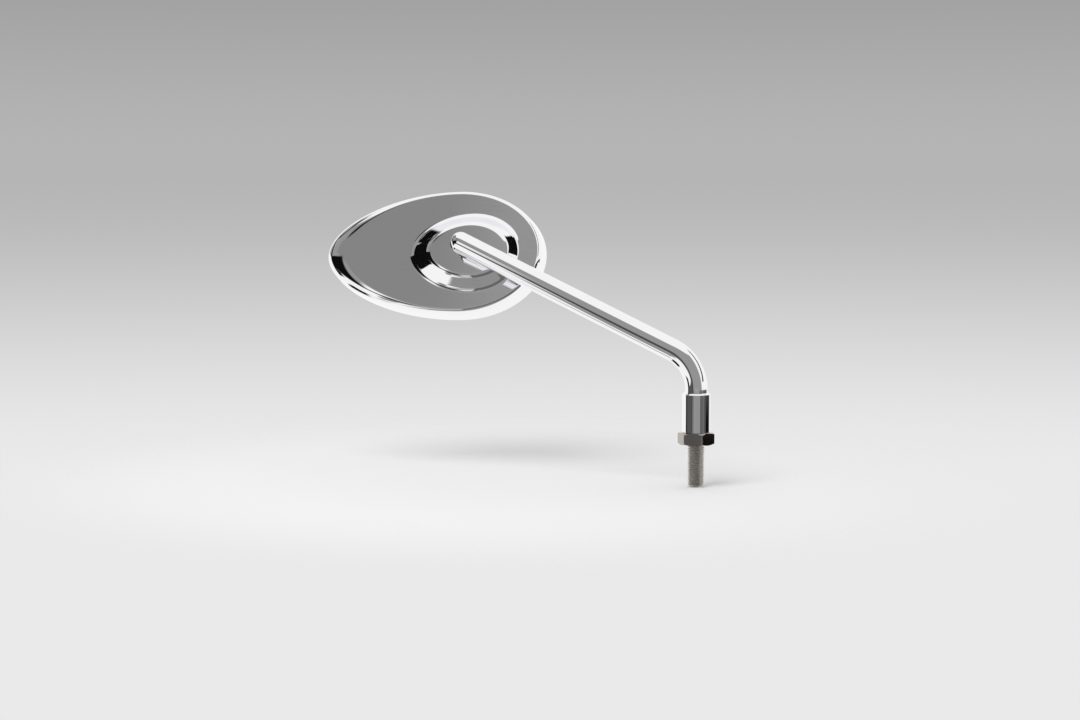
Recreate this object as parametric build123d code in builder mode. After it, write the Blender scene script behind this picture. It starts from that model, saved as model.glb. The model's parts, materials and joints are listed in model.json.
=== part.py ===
from build123d import *
import math
import os

os.makedirs("parts", exist_ok=True)

# Frame: +Z up along the stud, the origin where the stud leaves the lock nut's seating face,
# -Y to the front (back of the shell), +Y to the rear (glass), -X outboard.

# Fits
run_fit = 0.05
slip_fit = 0.1

# Lock nut and foot
stud_d = 10.0
stud_length = 25.0
thread_pitch = 1.25
pitch_line_d = stud_d - 0.65 * thread_pitch
stud_chamfer = 1.0
nut_flats = 19.0
nut_height = 7.0
nut_turn = 15.5
nut_corner_angle = 30.0
nut_sink = 0.8
foot_d = 16.4
foot_height = 23.0
foot_chamfer = 0.8
stem_depth = 14.0

# Stem
stem_d = 13.0
corner_height = 48.0
bend_radius = 25.0
run_reach = 138.3
run_slope = 0.488

# Head attitude: the back face looks forward, outboard and up
head_yaw = 11.5
head_pitch = 17.0
head_roll = 1.5

# Shell
shell_wall = 2.2
shell_depth = 17.5
shoulder_depth = 8.0
shoulder_mid = 0.29
head_mid = -7.2
head_rise = 0.8
head_blunt = 52.3
head_tail = 84.2
head_half = 39.4
face_inset = 2.8
tail_inset = 10.5
draft_inset = 0.5
tail_full = 0.54
tail_point = 0.47
rim_round = 0.8

# Boss
boss_height = 8.4
boss_mid = 2.3
boss_drop = 0.7
boss_blunt = 22.8
boss_tail = 25.6
boss_half = 16.7
foot_run = 6.7
foot_tail_run = 12.2
boss_edge = 3.0
boss_root = 3.0

# Ball joint
ball_d = 13.0
neck_d = 5.5
spigot_depth = 7.5
hex_key = 4.0
hex_depth = 4.0
liner_wall = 1.45
liner_split = 0.4
liner_mouth_d = 10.2
liner_rear = 5.6
hole_d = 10.4
hole_chamfer = 0.8
stem_gap = 7.0
socket_d = 22.4
socket_rear = 1.5

# Clamp
post_radius = 14.0
post_d = 6.8
post_front = 4.0
post_angle = 30.0
screw_d = 4.0
screw_reach = 2.6
head_d = 7.6
head_height = 2.6
head_dome = 0.9
recess_span = 4.2
recess_width = 1.0
recess_depth = 1.4
screw_count = 3
screw_point = 0.5
screw_slack = 0.25
plate_front = 3.5
plate_wall = 1.5
plate_ear_d = 8.6
plate_hub_d = 23.0
cup_rear = 7.2
washer_d = 8.8
washer_wall = 0.8
washer_rise = 0.6

# Glass, seal and backing
glass_curve = 1400.0
glass_wall = 2.0
glass_apex = 16.7
glass_inset = 3.6
seal_wall = 3.0
seal_fit = 0.05
seal_rear = 17.1
backing_wall = 0.8
backing_rear = 12.5
ledge_width = 2.7
ledge_wall = 1.5
pad_blunt = 26.0
pad_tail = 40.0
pad_half = 20.0

# Derived values
quarter_turn = 90
half_turn = 2 * quarter_turn
full_turn = 2 * half_turn
hex_sides = 6
stud_r = stud_d / 2
stem_r = stem_d / 2
ball_r = ball_d / 2
neck_r = neck_d / 2
liner_in = ball_r + run_fit
liner_out = liner_in + liner_wall
socket_r = liner_out + run_fit
foot_top = nut_height + foot_height
stem_bottom = foot_top - stem_depth
yaw = math.radians(head_yaw)
pitch = math.radians(head_pitch)
roll = math.radians(head_roll)
facing = Vector(-math.sin(yaw) * math.cos(pitch), -math.cos(yaw) * math.cos(pitch), math.sin(pitch))
across = Vector(0, 0, 1).cross(facing).normalized()
upward = facing.cross(across)
head_x = across * math.cos(roll) + upward * math.sin(roll)
# the run lies parallel to the back face
run_sweep = (math.sin(yaw) * math.cos(pitch) + run_slope * math.sin(pitch)) / (
    math.cos(yaw) * math.cos(pitch)
)
tip = Vector(-run_reach, run_reach * run_sweep, corner_height + run_reach * run_slope)
stand_off = boss_height + stem_gap + stem_r
ball_centre = tip - facing * stand_off
head_plane = Plane(origin=ball_centre, x_dir=head_x, z_dir=facing)
screw_seat = plate_front + plate_wall + washer_rise + washer_wall
glass_mid = head_mid + (head_blunt - head_tail) / 2
glass_centre = head_plane.from_local_coords(Vector(glass_mid, head_rise, glass_curve - glass_apex))
run_heading = Vector(-1, run_sweep, 0).normalized()
run_plan = math.hypot(run_reach, run_reach * run_sweep)
stem_plane = Plane(origin=(0, 0, 0), x_dir=run_heading, z_dir=run_heading.cross(Vector(0, 0, 1)))


def egg(mid, axis, blunt, tail, half):
    """Outline with half an ellipse at the blunt end and a rounded tail."""
    with BuildLine() as outline:
        EllipticalCenterArc((mid, axis), blunt, half, start_angle=-quarter_turn, arc_size=half_turn)
        Bezier(
            (mid, axis + half),
            (mid - tail_full * tail, axis + half),
            (mid - tail, axis + tail_point * half),
            (mid - tail, axis),
        )
        Bezier(
            (mid - tail, axis),
            (mid - tail, axis - tail_point * half),
            (mid - tail_full * tail, axis - half),
            (mid, axis - half),
        )
    return outline.edges()


def head_egg(inset, tail_extra=0.0):
    """The head's outline, moved in evenly and further at the tail."""
    return egg(head_mid, head_rise, head_blunt - inset, head_tail - inset - tail_extra, head_half - inset)


def boss_egg(spread, tail_spread):
    """The boss's top outline, moved out all round and by its own amount at the tail."""
    return egg(boss_mid, -boss_drop, boss_blunt + spread, boss_tail + tail_spread, boss_half + spread)


def wall_inset(depth):
    """How far the shell's inner wall lies inside its rim outline at this depth."""
    return shell_wall + draft_inset * (shell_depth - depth) / (shell_depth - shoulder_depth)


def post_spot(index, depth):
    """Plane on a screw's axis, this far behind the ball centre."""
    turn = Location((0, 0, 0), (0, 0, post_angle + index * full_turn / screw_count))
    return Plane(head_plane.location * turn * Location((post_radius, 0, -depth)))


def post_section(index, depth):
    """Plane through a screw's axis: x away from the axis, y to the rear."""
    spot = post_spot(index, depth)
    return Plane(origin=spot.origin, x_dir=spot.x_dir, z_dir=spot.y_dir)


def post_axis(index):
    """A screw's axis."""
    spot = post_spot(index, 0)
    return Axis(spot.origin, spot.z_dir)


# Hexagon lock nut
with BuildPart() as lock_nut:
    with BuildSketch():
        RegularPolygon(nut_flats / 2, hex_sides, major_radius=False, rotation=nut_turn + nut_corner_angle)
        Circle(pitch_line_d / 2 + run_fit, mode=Mode.SUBTRACT)
    extrude(amount=nut_height)
    corner_r = nut_flats / math.sqrt(3)
    corner_drop = (corner_r - nut_flats / 2) * math.tan(math.radians(nut_corner_angle))
    with BuildSketch(Plane.XZ):
        with BuildLine():
            Polyline(
                (0, 0),
                (nut_flats / 2, 0),
                (corner_r, corner_drop),
                (corner_r, nut_height - corner_drop),
                (nut_flats / 2, nut_height),
                (0, nut_height),
                close=True,
            )
        make_face()
    revolve(axis=Axis.Z, mode=Mode.INTERSECT)
    chamfer(lock_nut.edges().filter_by(GeomType.CIRCLE).sort_by(SortBy.RADIUS)[:2], nut_sink)
lock_nut.part.label = "lock_nut"
export_step(lock_nut.part, "parts/lock_nut.step")

# Turned foot: sleeve for the stem above, stud below, drawn at its pitch line inside the nut
with BuildPart() as stem_foot:
    with BuildSketch(Plane.XZ):
        with BuildLine():
            Polyline(
                (0, -stud_length),
                (stud_r - stud_chamfer, -stud_length),
                (stud_r, stud_chamfer - stud_length),
                (stud_r, 0),
                (pitch_line_d / 2, stud_r - pitch_line_d / 2),
                (pitch_line_d / 2, nut_height),
                (foot_d / 2, nut_height),
                (foot_d / 2, foot_top - foot_chamfer),
                (foot_d / 2 - foot_chamfer, foot_top),
                (stem_r, foot_top),
                (stem_r, stem_bottom),
                (0, stem_bottom),
                close=True,
            )
        make_face()
    revolve(axis=Axis.Z)
stem_foot.part.label = "stem_foot"
export_step(stem_foot.part, "parts/stem_foot.step")

# Bent rod with a domed end, cross-bored for the ball stud
with BuildPart() as stem:
    with BuildLine(stem_plane) as stem_path:
        FilletPolyline(
            (0, stem_bottom),
            (0, corner_height),
            (run_plan, corner_height + run_reach * run_slope),
            radius=bend_radius,
        )
    with BuildSketch(Plane(origin=(0, 0, stem_bottom))):
        Circle(stem_r)
    sweep(path=stem_path.wire())
    with Locations(tip):
        Sphere(stem_r)
    with BuildSketch(head_plane.offset(stand_off - stem_r)):
        Circle(neck_r + run_fit)
    extrude(amount=spigot_depth, mode=Mode.SUBTRACT)
    with BuildSketch(head_plane.offset(stand_off)):
        Circle(neck_r + run_fit)
    extrude(amount=-stem_d, mode=Mode.SUBTRACT)
stem.part.label = "stem"
export_step(stem.part, "parts/stem.step")

# Ball stud, screwed into the stem from inside the shell
with BuildPart() as ball_stud:
    with Locations(head_plane):
        Sphere(ball_r)
    with BuildSketch(head_plane):
        Circle(neck_r)
    extrude(amount=stand_off - stem_r + spigot_depth - slip_fit)
    with BuildSketch(head_plane.offset(-ball_r)):
        RegularPolygon(hex_key / 2, hex_sides, major_radius=False)
    extrude(amount=hex_depth, mode=Mode.SUBTRACT)
ball_stud.part.label = "ball_stud"
export_step(ball_stud.part, "parts/ball_stud.step")

# Plastic liner of the ball, front half
with BuildPart() as front_liner:
    with Locations(head_plane):
        Sphere(liner_out)
        Sphere(liner_in, mode=Mode.SUBTRACT)
    split(bisect_by=head_plane.offset(liner_split), keep=Keep.TOP)
    with BuildSketch(head_plane):
        Circle(liner_mouth_d / 2)
    extrude(amount=liner_out, mode=Mode.SUBTRACT)
front_liner.part.label = "front_liner"
export_step(front_liner.part, "parts/front_liner.step")

# Plastic liner of the ball, rear half
with BuildPart() as rear_liner:
    with Locations(head_plane):
        Sphere(liner_out)
        Sphere(liner_in, mode=Mode.SUBTRACT)
    split(bisect_by=head_plane.offset(-liner_split), keep=Keep.BOTTOM)
    split(bisect_by=head_plane.offset(-liner_rear), keep=Keep.TOP)
rear_liner.part.label = "rear_liner"
export_step(rear_liner.part, "parts/rear_liner.step")

# Cast shell with boss, ball socket, screw posts and glass ledge
with BuildPart() as mirror_shell:
    with BuildSketch(head_plane.offset(-shell_depth)):
        make_face(head_egg(0))
    with BuildSketch(head_plane.offset(-shoulder_depth)):
        make_face(head_egg(draft_inset))
    loft()
    with BuildSketch(head_plane.offset(-shoulder_depth)):
        make_face(head_egg(draft_inset))
    with BuildSketch(head_plane.offset(-shoulder_depth * shoulder_mid)):
        make_face(head_egg(draft_inset + shoulder_mid * face_inset, shoulder_mid * tail_inset))
    with BuildSketch(head_plane):
        make_face(head_egg(draft_inset + face_inset, tail_inset))
    loft()
    with BuildSketch(head_plane):
        make_face(boss_egg(foot_run, foot_tail_run))
    with BuildSketch(head_plane.offset(boss_height)):
        make_face(boss_egg(0, 0))
    loft(ruled=True)
    boss_edges = mirror_shell.edges().filter_by(
        lambda e: abs(head_plane.to_local_coords(e.center()).Z - boss_height) < slip_fit
    )
    fillet(boss_edges, boss_edge)
    back_face = mirror_shell.faces().filter_by(
        lambda f: abs(head_plane.to_local_coords(f.center()).Z) < slip_fit and len(f.inner_wires()) > 0
    )[0]
    fillet(back_face.inner_wires()[0].edges(), boss_root)
    rim_edges = mirror_shell.edges().filter_by(
        lambda e: abs(head_plane.to_local_coords(e.center()).Z + shell_depth) < slip_fit
    )
    fillet(rim_edges, rim_round)
    # hollow
    with BuildSketch(head_plane.offset(-shell_depth)):
        make_face(head_egg(shell_wall))
    with BuildSketch(head_plane.offset(-shoulder_depth)):
        make_face(head_egg(shell_wall + draft_inset))
    loft(mode=Mode.SUBTRACT)
    with BuildSketch(head_plane.offset(-shoulder_depth)):
        make_face(head_egg(shell_wall + draft_inset))
    with BuildSketch(head_plane.offset(-shell_wall)):
        make_face(head_egg(shell_wall + draft_inset + face_inset, tail_inset))
    loft(mode=Mode.SUBTRACT)
    with BuildSketch(head_plane.offset(-shell_wall)):
        make_face(boss_egg(foot_run - shell_wall, foot_tail_run - shell_wall))
    with BuildSketch(head_plane.offset(boss_height - shell_wall)):
        make_face(boss_egg(-shell_wall, -shell_wall))
    loft(ruled=True, mode=Mode.SUBTRACT)
    # ball socket and screw posts
    with BuildSketch(head_plane.offset(-socket_rear)):
        Circle(socket_d / 2)
    extrude(amount=socket_rear + boss_height - shell_wall / 2)
    with BuildSketch(head_plane.offset(-socket_rear)):
        with PolarLocations(post_radius, screw_count, start_angle=post_angle):
            Circle(post_d / 2)
    extrude(amount=socket_rear + post_front)
    with Locations(head_plane):
        Sphere(socket_r, mode=Mode.SUBTRACT)
    with BuildSketch(head_plane.offset(-socket_rear)):
        Circle(socket_r)
    extrude(amount=socket_rear, mode=Mode.SUBTRACT)
    with BuildSketch(head_plane):
        Circle(hole_d / 2)
    extrude(amount=boss_height, mode=Mode.SUBTRACT)
    with BuildSketch(head_plane.offset(-socket_rear)):
        with PolarLocations(post_radius, screw_count, start_angle=post_angle):
            Circle(screw_d / 2)
    extrude(amount=socket_rear + screw_reach, mode=Mode.SUBTRACT)
    hole_edge = mirror_shell.edges().filter_by(GeomType.CIRCLE).filter_by(
        lambda e: abs(head_plane.to_local_coords(e.center()).Z - boss_height) < slip_fit
    )
    chamfer(hole_edge, hole_chamfer)
    # ledge for the backing plate
    with BuildSketch(head_plane.offset(-backing_rear + backing_wall)):
        make_face(head_egg(shell_wall / 2))
        make_face(head_egg(shell_wall + ledge_width), mode=Mode.SUBTRACT)
    extrude(amount=ledge_wall)
mirror_shell.part.label = "mirror_shell"
export_step(mirror_shell.part, "parts/mirror_shell.step")

# Pressed clamp plate with a cup for the rear liner
with BuildPart() as clamp_plate:
    with Locations(head_plane):
        Sphere(socket_r + plate_wall)
    split(bisect_by=head_plane.offset(-plate_front), keep=Keep.BOTTOM)
    split(bisect_by=head_plane.offset(-cup_rear), keep=Keep.TOP)
    with BuildSketch(head_plane.offset(-plate_front)):
        Circle(plate_hub_d / 2)
        with PolarLocations(post_radius, screw_count, start_angle=post_angle):
            Circle(plate_ear_d / 2)
        make_hull()
        with PolarLocations(post_radius, screw_count, start_angle=post_angle):
            Circle(screw_d / 2 + screw_slack, mode=Mode.SUBTRACT)
    extrude(amount=-plate_wall)
    with Locations(head_plane):
        Sphere(socket_r, mode=Mode.SUBTRACT)
clamp_plate.part.label = "clamp_plate"
export_step(clamp_plate.part, "parts/clamp_plate.step")

# Conical spring washers under the screw heads
with BuildPart() as spring_washers:
    for index in range(screw_count):
        with BuildSketch(post_section(index, plate_front + plate_wall)) as washer_profile:
            with BuildLine():
                Polyline(
                    (washer_d / 2, 0),
                    (washer_d / 2, washer_wall),
                    (screw_d / 2 + screw_slack, washer_rise + washer_wall),
                    (screw_d / 2 + screw_slack, washer_rise),
                    close=True,
                )
            make_face()
        revolve(axis=post_axis(index))
spring_washers.part.label = "spring_washers"
export_step(spring_washers.part, "parts/spring_washers.step")

# Pan-head clamp screws with a cross recess
with BuildPart() as clamp_screws:
    for index in range(screw_count):
        with BuildSketch(post_section(index, screw_seat)) as screw_profile:
            with BuildLine():
                Polyline(
                    (0, head_height),
                    (0, slip_fit - screw_seat - screw_reach),
                    (screw_d / 2 - screw_point, slip_fit - screw_seat - screw_reach),
                    (screw_d / 2, slip_fit + screw_point - screw_seat - screw_reach),
                    (screw_d / 2, 0),
                    (head_d / 2, 0),
                    (head_d / 2, head_height - head_dome),
                )
                ThreePointArc(
                    (head_d / 2, head_height - head_dome),
                    (head_d / 4, head_height - head_dome / 4),
                    (0, head_height),
                )
            make_face()
        revolve(axis=post_axis(index))
    with BuildSketch(head_plane.offset(-screw_seat - head_height)):
        with PolarLocations(post_radius, screw_count, start_angle=post_angle):
            Rectangle(recess_span, recess_width)
            Rectangle(recess_width, recess_span)
    extrude(amount=recess_depth, mode=Mode.SUBTRACT)
clamp_screws.part.label = "clamp_screws"
export_step(clamp_screws.part, "parts/clamp_screws.step")

# Backing plate on the shell's ledge
with BuildPart() as backing_plate:
    with BuildSketch(head_plane.offset(-backing_rear)):
        make_face(head_egg(shell_wall + draft_inset))
    extrude(amount=backing_wall)
backing_plate.part.label = "backing_plate"
export_step(backing_plate.part, "parts/backing_plate.step")

# Convex glass
with BuildPart() as mirror_glass:
    with BuildSketch(head_plane.offset(-shell_depth)):
        make_face(head_egg(glass_inset))
    extrude(amount=shell_depth - backing_rear)
    with Locations(glass_centre):
        Sphere(glass_curve, rotation=(quarter_turn, 0, 0), mode=Mode.INTERSECT)
        Sphere(glass_curve - glass_wall, rotation=(quarter_turn, 0, 0), mode=Mode.SUBTRACT)
mirror_glass.part.label = "mirror_glass"
export_step(mirror_glass.part, "parts/mirror_glass.step")

# Rubber seal, grooved for the glass
with BuildPart() as glass_slot:
    with BuildSketch(head_plane.offset(-shell_depth)):
        make_face(head_egg(glass_inset - seal_fit))
    extrude(amount=shell_depth - backing_rear)
    with Locations(glass_centre):
        Sphere(glass_curve + seal_fit, rotation=(quarter_turn, 0, 0), mode=Mode.INTERSECT)
        Sphere(glass_curve - glass_wall - seal_fit, rotation=(quarter_turn, 0, 0), mode=Mode.SUBTRACT)
with BuildPart() as glass_seal:
    with BuildSketch(head_plane.offset(-seal_rear)):
        make_face(head_egg(wall_inset(seal_rear) + seal_fit))
    with BuildSketch(head_plane.offset(-backing_rear)):
        make_face(head_egg(wall_inset(backing_rear) + seal_fit))
    loft()
    with BuildSketch(head_plane.offset(-seal_rear)):
        make_face(head_egg(shell_wall + seal_wall))
    extrude(amount=seal_rear - backing_rear, mode=Mode.SUBTRACT)
    add(glass_slot.part, mode=Mode.SUBTRACT)
glass_seal.part.label = "glass_seal"
export_step(glass_seal.part, "parts/glass_seal.step")

# Foam pad between the backing plate and the glass
with BuildPart() as glass_pad:
    with BuildSketch(head_plane.offset(-shell_depth)):
        make_face(egg(glass_mid, head_rise, pad_blunt, pad_tail, pad_half))
    extrude(amount=shell_depth - backing_rear)
    with Locations(glass_centre):
        Sphere(glass_curve - glass_wall - seal_fit, rotation=(quarter_turn, 0, 0), mode=Mode.INTERSECT)
glass_pad.part.label = "glass_pad"
export_step(glass_pad.part, "parts/glass_pad.step")
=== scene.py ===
import json
import math
from typing import NamedTuple

import bmesh
import bpy
from bpy.props import FloatProperty, FloatVectorProperty, IntProperty, PointerProperty
from mathutils import Matrix, Vector


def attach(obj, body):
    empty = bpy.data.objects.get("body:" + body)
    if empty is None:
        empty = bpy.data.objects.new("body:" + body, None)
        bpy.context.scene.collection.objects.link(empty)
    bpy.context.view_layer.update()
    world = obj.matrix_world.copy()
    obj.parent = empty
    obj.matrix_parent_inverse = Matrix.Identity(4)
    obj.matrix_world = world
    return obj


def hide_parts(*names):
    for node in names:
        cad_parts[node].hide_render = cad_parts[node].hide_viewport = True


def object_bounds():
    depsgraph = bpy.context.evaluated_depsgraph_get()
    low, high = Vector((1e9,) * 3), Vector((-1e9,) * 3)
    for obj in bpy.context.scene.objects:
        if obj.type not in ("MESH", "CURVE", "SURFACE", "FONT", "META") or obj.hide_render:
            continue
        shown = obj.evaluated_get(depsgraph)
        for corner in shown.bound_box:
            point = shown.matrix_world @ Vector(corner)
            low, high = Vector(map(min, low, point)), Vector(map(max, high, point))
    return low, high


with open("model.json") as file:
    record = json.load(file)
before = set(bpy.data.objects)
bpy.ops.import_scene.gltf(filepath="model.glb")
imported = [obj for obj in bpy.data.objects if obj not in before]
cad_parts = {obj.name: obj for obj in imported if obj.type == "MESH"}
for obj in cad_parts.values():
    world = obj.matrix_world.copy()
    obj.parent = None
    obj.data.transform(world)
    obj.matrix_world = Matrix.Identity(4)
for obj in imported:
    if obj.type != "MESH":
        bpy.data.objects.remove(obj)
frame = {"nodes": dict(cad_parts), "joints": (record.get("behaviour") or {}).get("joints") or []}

bl_info = {
    "name": "Motorcycle mirror",
    "version": (1, 0, 0),
    "blender": (4, 5, 0),
    "location": "View3D > Sidebar > Mirror",
    "description": "Builds the pieces, finishes and studio of a chromed motorcycle mirror",
    "category": "Object",
}

CAD_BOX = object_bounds()
MM = 0.001
# points nearer than this are one point
WELD = MM / 1000
JOINTS = {joint["name"]: joint for joint in frame["joints"]}
BALL = Vector(JOINTS["head_spin"]["pos_m"])
HEAD_X = Vector(JOINTS["head_tilt"]["axis"])
HEAD_Y = Vector(JOINTS["head_swing"]["axis"])
HEAD_Z = Vector(JOINTS["head_spin"]["axis"])
# from the head's own axes, with its origin in the ball, to the part's frame
HEAD = Matrix.Translation(BALL) @ Matrix((HEAD_X, HEAD_Y, HEAD_Z)).transposed().to_4x4()


# Shader writing

class Value:
    """A shader number, colour or vector. Arithmetic on a number adds Math nodes to its tree."""

    def __init__(self, shader, socket):
        self.shader = shader
        self.socket = socket

    def math(self, operation, *terms):
        """The result of a Math node on these terms."""
        return self.shader.node("ShaderNodeMath", {"operation": operation}, dict(enumerate(terms)))

    def __add__(self, other):
        return self.math("ADD", self, other)

    def __sub__(self, other):
        return self.math("SUBTRACT", self, other)

    def __rsub__(self, other):
        return self.math("SUBTRACT", other, self)

    def __mul__(self, other):
        return self.math("MULTIPLY", self, other)

    def __pow__(self, other):
        return self.math("POWER", self, other)

    __radd__ = __add__
    __rmul__ = __mul__

    def larger(self, other):
        """The larger of two numbers."""
        return self.math("MAXIMUM", self, other)


# Sockets of a Mix node that mixes colours
MIX_FACTOR, MIX_FIRST, MIX_SECOND, MIX_RESULT = 0, 6, 7, 2


class Shader:
    """Writes one node tree."""

    def __init__(self, tree):
        tree.nodes.clear()
        self.tree = tree

    def node(self, kind, settings=None, sockets=None, output=0):
        """Adds a node: its settings first, then the values or links of its sockets."""
        node = self.tree.nodes.new(kind)
        for name, setting in (settings or {}).items():
            setattr(node, name, setting)
        for name, value in (sockets or {}).items():
            if isinstance(value, Value):
                self.tree.links.new(value.socket, node.inputs[name])
            else:
                node.inputs[name].default_value = value
        return Value(self, node.outputs[output]) if node.outputs else node

    def place(self):
        """Object coordinates."""
        return self.node("ShaderNodeTexCoord", output="Object")

    def turned(self, vector, place=(0, 0, 0), turn=(0, 0, 0), scale=(1, 1, 1)):
        """Coordinates moved, turned and stretched by a Mapping node."""
        sockets = {"Vector": vector, "Location": place, "Rotation": turn, "Scale": scale}
        return self.node("ShaderNodeMapping", {"vector_type": "POINT"}, sockets)

    def axes(self, vector):
        """The three numbers of a vector."""
        split = self.node("ShaderNodeSeparateXYZ", sockets={"Vector": vector})
        return [Value(self, socket) for socket in split.socket.node.outputs]

    def from_axis(self, vector):
        """Distance from the z axis."""
        across, along, _ = self.axes(vector)
        return (across * across + along * along) ** 0.5

    def noise(self, vector, scale, detail=2.0, rough=0.5):
        """Cloudy noise from nought to one."""
        sockets = {"Vector": vector, "Scale": scale, "Detail": detail, "Roughness": rough}
        return self.node("ShaderNodeTexNoise", {"noise_dimensions": "3D"}, sockets)

    def step(self, value, low, high, start=0.0, end=1.0):
        """A soft step from start to end as value goes from low to high."""
        sockets = {"Value": value, "From Min": low, "From Max": high, "To Min": start, "To Max": end}
        return self.node("ShaderNodeMapRange", {"interpolation_type": "SMOOTHSTEP"}, sockets)

    def band(self, value, low, high, soft):
        """One between low and high, nought outside, with soft edges."""
        risen = self.step(value, low - soft, low + soft)
        return risen * self.step(value, high - soft, high + soft, 1.0, 0.0)

    def mix(self, factor, first, second):
        """A colour between two colours."""
        sockets = {MIX_FACTOR: factor, MIX_FIRST: first, MIX_SECOND: second}
        return self.node("ShaderNodeMix", {"data_type": "RGBA"}, sockets, output=MIX_RESULT)

    def bump(self, height, distance, strength=1.0):
        """A normal from a height, in which one stands for this distance."""
        sockets = {"Height": height, "Distance": distance, "Strength": strength}
        return self.node("ShaderNodeBump", sockets=sockets)


def shade(colour, share=1.0):
    """A colour with full alpha, darkened to this share."""
    return (*(share * part for part in colour), 1.0)


def new_material(name):
    """A material without nodes, and the writer of its tree."""
    material = bpy.data.materials.new(name)
    material.use_nodes = True
    return material, Shader(material.node_tree)


def new_finish(name, build, *settings):
    """A material whose Principled sockets come from a build function."""
    material, shader = new_material(name)
    surface = shader.node("ShaderNodeBsdfPrincipled", sockets=build(shader, *settings))
    shader.node("ShaderNodeOutputMaterial", sockets={"Surface": surface})
    return material


# Finishes

def polished_chrome(shader, colour):
    """Plated chrome: mirror polish, faint haze where it was wiped and a trace of waviness."""
    spot = shader.place()
    haze = shader.step(shader.noise(spot, scale=45.0, detail=4.0, rough=0.6), low=0.45, high=0.75)
    strokes = shader.turned(spot, turn=(0.4, 0.9, 0.5), scale=(60.0, 900.0, 900.0))
    wipe = shader.noise(strokes, scale=1.0, detail=3.0, rough=0.55)
    smear = haze * shader.step(wipe, low=0.42, high=0.7)
    waves = shader.noise(spot, scale=55.0, detail=1.0)
    return {
        "Base Color": shader.mix(smear, shade(colour), shade(colour, 0.94)),
        "Metallic": 1.0,
        "Roughness": 0.025 + 0.035 * smear,
        "Normal": shader.bump(waves, distance=0.012 * MM),
    }


def turned_steel(shader, colour):
    """Bare steel with fine turning marks and uneven sheen."""
    spot = shader.place()
    cloud = shader.noise(spot, scale=220.0, detail=3.0)
    marks = shader.turned(spot, scale=(300.0, 300.0, 9000.0))
    grain = shader.noise(marks, scale=1.0, detail=2.0)
    return {
        "Base Color": shader.mix(cloud, shade(colour, 0.75), shade(colour)),
        "Metallic": 1.0,
        "Roughness": 0.2 + 0.2 * grain,
        "Normal": shader.bump(grain, distance=0.03 * MM, strength=0.4),
    }


def plated_thread(shader, colour, passivate, crest):
    """Zinc plate with a yellowish passivate in the thread's root and bright crests."""
    spot = shader.place()
    crests = shader.step(shader.from_axis(spot), low=0.93 * crest, high=crest)
    rubbed = crests * shader.step(shader.noise(spot, scale=700.0, detail=3.0), low=0.35, high=0.6)
    cloud = shader.noise(spot, scale=160.0, detail=4.0, rough=0.6)
    dull = shader.mix(cloud, shade(passivate), shade(colour, 0.85))
    return {
        "Base Color": shader.mix(rubbed, dull, shade(colour)),
        "Metallic": 1.0,
        "Roughness": 0.36 - 0.16 * rubbed + 0.12 * cloud,
    }


def oxide_steel(shader, colour, worn, corner):
    """Blackened steel, rubbed bright at the corners that a spanner touches."""
    spot = shader.place()
    grain = shader.noise(spot, scale=1100.0, detail=4.0, rough=0.6)
    cloud = shader.noise(spot, scale=240.0, detail=3.0)
    corners = shader.step(shader.from_axis(spot), low=0.965 * corner, high=0.995 * corner)
    rubbed = corners * shader.step(grain, low=0.38, high=0.58)
    base = shader.mix(cloud, shade(colour, 0.8), shade(colour, 1.1))
    return {
        "Base Color": shader.mix(rubbed, base, shade(worn)),
        "Metallic": 1.0,
        "Roughness": 0.05 + 0.06 * grain - 0.02 * rubbed,
        "Normal": shader.bump(grain, distance=0.03 * MM, strength=0.35),
    }


def moulded_plastic(shader, colour):
    """Moulded plastic with a fine spark texture."""
    spot = shader.place()
    grain = shader.noise(spot, scale=2600.0, detail=2.0)
    cloud = shader.noise(spot, scale=90.0, detail=3.0)
    return {
        "Base Color": shader.mix(cloud, shade(colour, 0.8), shade(colour)),
        "Roughness": 0.45 + 0.2 * grain,
        "Normal": shader.bump(grain, distance=0.05 * MM, strength=0.5),
    }


def soft_rubber(shader, colour, dusty):
    """Rubber with fine grain and a dusty bloom."""
    spot = shader.place()
    grain = shader.noise(spot, scale=1800.0, detail=2.0)
    bloom = shader.step(shader.noise(spot, scale=70.0, detail=4.0, rough=0.6), low=0.45, high=0.75)
    return {
        "Base Color": shader.mix(bloom, shade(colour), shade(dusty)),
        "Roughness": 0.5 + 0.25 * grain,
        "Normal": shader.bump(grain, distance=0.04 * MM, strength=0.6),
    }


def open_foam(shader, colour):
    """Open-cell foam, with painted shade darkening its pores."""
    spot = shader.place()
    cells = shader.node("ShaderNodeTexVoronoi", {"feature": "F1"}, {"Vector": spot, "Scale": 1500.0})
    # nought in a pore's middle, one on its walls: the bump's height and the mask of the pores' painted
    # shade
    wall = shader.step(cells, low=0.12, high=0.5)
    cloud = shader.noise(spot, scale=130.0, detail=3.0)
    wall_colour = shader.mix(cloud, shade(colour, 0.85), shade(colour, 1.2))
    return {
        # painted shade: the pores' colour darkened to three tenths
        "Base Color": shader.mix(wall, shade(colour, 0.3), wall_colour),
        "Roughness": 0.82 + 0.15 * cloud,
        "Normal": shader.bump(wall, distance=0.25 * MM, strength=0.8),
    }


def silvered_glass(shader, colour):
    """Mirror glass: silvered and clear, with a thin film and a few specks of dust."""
    spot = shader.place()
    dust = shader.step(shader.noise(spot, scale=900.0, detail=3.0, rough=0.7), low=0.66, high=0.8)
    film = shader.noise(spot, scale=22.0, detail=3.0)
    return {
        "Base Color": shader.mix(film, shade(colour), shade(colour, 0.95)),
        "Metallic": 1.0,
        "Roughness": 0.012 + 0.06 * dust,
    }


# Sizes and colours

def length(name, description, millimetres):
    """A size, written in millimetres."""
    return FloatProperty(
        name=name, description=description, default=millimetres * MM, unit="LENGTH", precision=5
    )


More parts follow.
